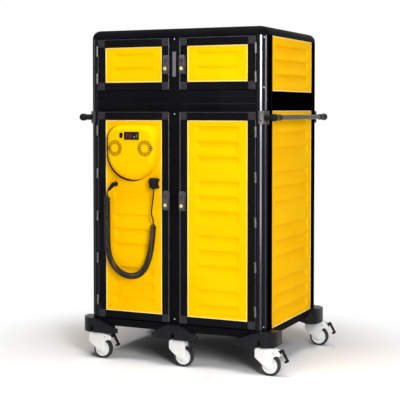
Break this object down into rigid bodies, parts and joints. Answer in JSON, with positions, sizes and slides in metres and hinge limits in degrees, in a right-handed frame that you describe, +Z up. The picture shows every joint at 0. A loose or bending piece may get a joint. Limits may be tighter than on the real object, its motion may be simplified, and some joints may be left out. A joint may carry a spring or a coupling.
{
  "type": "enclosed meal tray cart",
  "caption": "Tall enclosed meal tray cart with insulated ribbed doors over tray ledges, a thermal unit with a curly mains cord, push bars, bumpers and swivel casters.",
  "frame": {"origin": "on the floor under the middle of the cabinet's plan, which is also the centre of the caster pattern", "axes": "+Z up, the doors face -Y, +X to the right of someone facing the doors"},
  "size_m": [1.121, 0.8503, 1.6535],
  "materials": {
    "black_frame": "satin moulded black",
    "yellow_panel": "satin moulded yellow",
    "grey_plastic": "moulded grey",
    "black_plastic": "moulded black",
    "white_nylon": "moulded off-white nylon",
    "bumper_rubber": "dark grey non-marking rubber",
    "wheel_rubber": "grey rubber tread on a white hub",
    "inner_liner": "light grey moulded liner",
    "cable_sheath": "black cable sheath",
    "display": "smoked display window"
  },
  "bodies": {
    "cabinet": {"base_frame": "black_frame", "roof": "black_frame", "frame_left": "black_frame", "frame_right": "black_frame", "front_grid": "black_frame", "back_rail": "black_frame", "side_panel_left_lower": "yellow_panel", "side_panel_left_upper": "yellow_panel", "side_panel_right_lower": "yellow_panel", "side_panel_right_upper": "yellow_panel", "back_panel_lower": "yellow_panel", "back_panel_upper": "yellow_panel", "inner_divider": "inner_liner", "rack_left": "inner_liner", "rack_right": "inner_liner", "handle_left": "black_plastic", "handle_right": "black_plastic", "bumper_front_left": "bumper_rubber", "bumper_front_centre": "bumper_rubber", "bumper_front_right": "bumper_rubber", "bumper_back_left": "bumper_rubber", "bumper_back_centre": "bumper_rubber", "bumper_back_right": "bumper_rubber"},
    "door_lower_left": {"door_frame_lower_left": "black_frame", "door_panel_lower_left": "yellow_panel", "unit_cover": "yellow_panel", "display_window": "display", "plug_dock": "black_plastic", "cord_gland": "black_plastic", "cord_coil": "cable_sheath", "cord_tail": "cable_sheath", "mains_plug": "black_plastic"},
    "door_lower_right": {"door_frame_lower_right": "black_frame", "door_panel_lower_right": "yellow_panel"},
    "door_upper_left": {"door_frame_upper_left": "black_frame", "door_panel_upper_left": "yellow_panel"},
    "door_upper_right": {"door_frame_upper_right": "black_frame", "door_panel_upper_right": "yellow_panel"},
    "latch_lower_left": {"latch_lower_left": "grey_plastic"},
    "latch_lower_right": {"latch_lower_right": "grey_plastic"},
    "latch_upper_left": {"latch_upper_left": "grey_plastic"},
    "latch_upper_right": {"latch_upper_right": "grey_plastic"},
    "power_button": {"power_button": "black_plastic"},
    "fan_rotor": {"fan_rotor": "black_plastic"},
    "caster_front_left": {"caster_fork_front_left": "white_nylon"},
    "wheel_front_left": {"caster_wheel_front_left": "wheel_rubber"},
    "pedal_front_left": {"brake_pedal_front_left": "black_plastic"},
    "caster_front_centre": {"caster_fork_front_centre": "white_nylon"},
    "wheel_front_centre": {"caster_wheel_front_centre": "wheel_rubber"},
    "caster_front_right": {"caster_fork_front_right": "white_nylon"},
    "wheel_front_right": {"caster_wheel_front_right": "wheel_rubber"},
    "pedal_front_right": {"brake_pedal_front_right": "black_plastic"},
    "caster_back_left": {"caster_fork_back_left": "white_nylon"},
    "wheel_back_left": {"caster_wheel_back_left": "wheel_rubber"},
    "pedal_back_left": {"brake_pedal_back_left": "black_plastic"},
    "caster_back_centre": {"caster_fork_back_centre": "white_nylon"},
    "wheel_back_centre": {"caster_wheel_back_centre": "wheel_rubber"},
    "caster_back_right": {"caster_fork_back_right": "white_nylon"},
    "wheel_back_right": {"caster_wheel_back_right": "wheel_rubber"},
    "pedal_back_right": {"brake_pedal_back_right": "black_plastic"}
  },
  "joints": [
    {"name": "door_lower_left_hinge", "type": "hinge", "parent": "cabinet", "child": "door_lower_left", "pos_m": [-0.4265, -0.3872, 0.73], "axis": [0, 0, -1], "range_deg": [0, 175]},
    {"name": "door_lower_right_hinge", "type": "hinge", "parent": "cabinet", "child": "door_lower_right", "pos_m": [0.4265, -0.3872, 0.73], "axis": [0, 0, 1], "range_deg": [0, 175]},
    {"name": "door_upper_left_hinge", "type": "hinge", "parent": "cabinet", "child": "door_upper_left", "pos_m": [-0.4265, -0.3872, 1.48], "axis": [0, 0, -1], "range_deg": [0, 175]},
    {"name": "door_upper_right_hinge", "type": "hinge", "parent": "cabinet", "child": "door_upper_right", "pos_m": [0.4265, -0.3872, 1.48], "axis": [0, 0, 1], "range_deg": [0, 175]},
    {"name": "latch_lower_left_pull", "type": "hinge", "parent": "door_lower_left", "child": "latch_lower_left", "pos_m": [-0.0435, -0.3823, 0.86], "axis": [-1, 0, 0], "range_deg": [0, 30], "stiffness_Nm_per_rad": 0.4},
    {"name": "latch_lower_right_pull", "type": "hinge", "parent": "door_lower_right", "child": "latch_lower_right", "pos_m": [0.0435, -0.3823, 0.86], "axis": [-1, 0, 0], "range_deg": [0, 30], "stiffness_Nm_per_rad": 0.4},
    {"name": "latch_upper_left_pull", "type": "hinge", "parent": "door_upper_left", "child": "latch_upper_left", "pos_m": [-0.0435, -0.3823, 1.522], "axis": [-1, 0, 0], "range_deg": [0, 30], "stiffness_Nm_per_rad": 0.4},
    {"name": "latch_upper_right_pull", "type": "hinge", "parent": "door_upper_right", "child": "latch_upper_right", "pos_m": [0.0435, -0.3823, 1.522], "axis": [-1, 0, 0], "range_deg": [0, 30], "stiffness_Nm_per_rad": 0.4},
    {"name": "power_button_press", "type": "slide", "parent": "door_lower_left", "child": "power_button", "axis": [0, 1, 0], "range_m": [0, 0.0025], "stiffness_N_per_m": 400, "springref_m": -0.001},
    {"name": "fan_spin", "type": "hinge", "parent": "door_lower_left", "child": "fan_rotor", "pos_m": [-0.1355, -0.409, 1.068], "axis": [0, 1, 0], "continuous": true},
    {"name": "caster_front_left_swivel", "type": "hinge", "parent": "cabinet", "child": "caster_front_left", "pos_m": [-0.452, -0.367, 0.131], "axis": [0, 0, 1], "continuous": true},
    {"name": "wheel_front_left_spin", "type": "hinge", "parent": "caster_front_left", "child": "wheel_front_left", "pos_m": [-0.407, -0.367, 0.05], "axis": [0, 1, 0], "continuous": true},
    {"name": "pedal_front_left_press", "type": "hinge", "parent": "caster_front_left", "child": "pedal_front_left", "pos_m": [-0.361, -0.367, 0.113], "axis": [0, 1, 0], "range_deg": [0, 8]},
    {"name": "caster_front_centre_swivel", "type": "hinge", "parent": "cabinet", "child": "caster_front_centre", "pos_m": [0, -0.367, 0.131], "axis": [0, 0, 1], "continuous": true},
    {"name": "wheel_front_centre_spin", "type": "hinge", "parent": "caster_front_centre", "child": "wheel_front_centre", "pos_m": [0.045, -0.367, 0.05], "axis": [0, 1, 0], "continuous": true},
    {"name": "caster_front_right_swivel", "type": "hinge", "parent": "cabinet", "child": "caster_front_right", "pos_m": [0.452, -0.367, 0.131], "axis": [0, 0, 1], "continuous": true},
    {"name": "wheel_front_right_spin", "type": "hinge", "parent": "caster_front_right", "child": "wheel_front_right", "pos_m": [0.497, -0.367, 0.05], "axis": [0, 1, 0], "continuous": true},
    {"name": "pedal_front_right_press", "type": "hinge", "parent": "caster_front_right", "child": "pedal_front_right", "pos_m": [0.543, -0.367, 0.113], "axis": [0, 1, 0], "range_deg": [0, 8]},
    {"name": "caster_back_left_swivel", "type": "hinge", "parent": "cabinet", "child": "caster_back_left", "pos_m": [-0.452, 0.367, 0.131], "axis": [0, 0, 1], "continuous": true},
    {"name": "wheel_back_left_spin", "type": "hinge", "parent": "caster_back_left", "child": "wheel_back_left", "pos_m": [-0.407, 0.367, 0.05], "axis": [0, 1, 0], "continuous": true},
    {"name": "pedal_back_left_press", "type": "hinge", "parent": "caster_back_left", "child": "pedal_back_left", "pos_m": [-0.361, 0.367, 0.113], "axis": [0, 1, 0], "range_deg": [0, 8]},
    {"name": "caster_back_centre_swivel", "type": "hinge", "parent": "cabinet", "child": "caster_back_centre", "pos_m": [0, 0.367, 0.131], "axis": [0, 0, 1], "continuous": true},
    {"name": "wheel_back_centre_spin", "type": "hinge", "parent": "caster_back_centre", "child": "wheel_back_centre", "pos_m": [0.045, 0.367, 0.05], "axis": [0, 1, 0], "continuous": true},
    {"name": "caster_back_right_swivel", "type": "hinge", "parent": "cabinet", "child": "caster_back_right", "pos_m": [0.452, 0.367, 0.131], "axis": [0, 0, 1], "continuous": true},
    {"name": "wheel_back_right_spin", "type": "hinge", "parent": "caster_back_right", "child": "wheel_back_right", "pos_m": [0.497, 0.367, 0.05], "axis": [0, 1, 0], "continuous": true},
    {"name": "pedal_back_right_press", "type": "hinge", "parent": "caster_back_right", "child": "pedal_back_right", "pos_m": [0.543, 0.367, 0.113], "axis": [0, 1, 0], "range_deg": [0, 8]}
  ]
}
